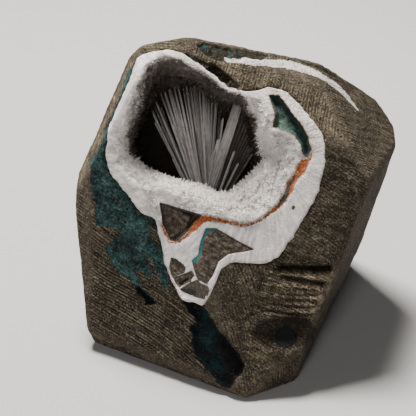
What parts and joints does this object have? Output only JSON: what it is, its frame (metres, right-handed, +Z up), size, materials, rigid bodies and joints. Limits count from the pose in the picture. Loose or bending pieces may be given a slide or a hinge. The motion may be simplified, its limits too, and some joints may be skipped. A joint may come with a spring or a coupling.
{
  "type": "scolecite geode",
  "caption": "Ground basalt block with a hollow lined by white zeolite and filled by a fan of scolecite needles, celadonite patches and a brecciated seam below.",
  "frame": {"origin": "middle of the object's bounding box on the plane of its ground base", "axes": "+Z up; -Y is the side that the hollow opens to, tipped about 31 degrees up; +X is to the right of someone who looks into the hollow"},
  "size_m": [0.1316, 0.109, 0.1258],
  "materials": {
    "basalt": "matt, ground with a coarse wheel",
    "zeolite": "white, sugary to satin; the needles are clear to pale lilac-grey"
  },
  "bodies": {
    "root": {"basalt_matrix": "basalt", "crystal_crust": "zeolite", "breccia_clast_upper": "basalt", "breccia_clast_main": "basalt", "breccia_clast_left": "basalt", "breccia_clast_lower": "basalt"}
  },
  "joints": []
}
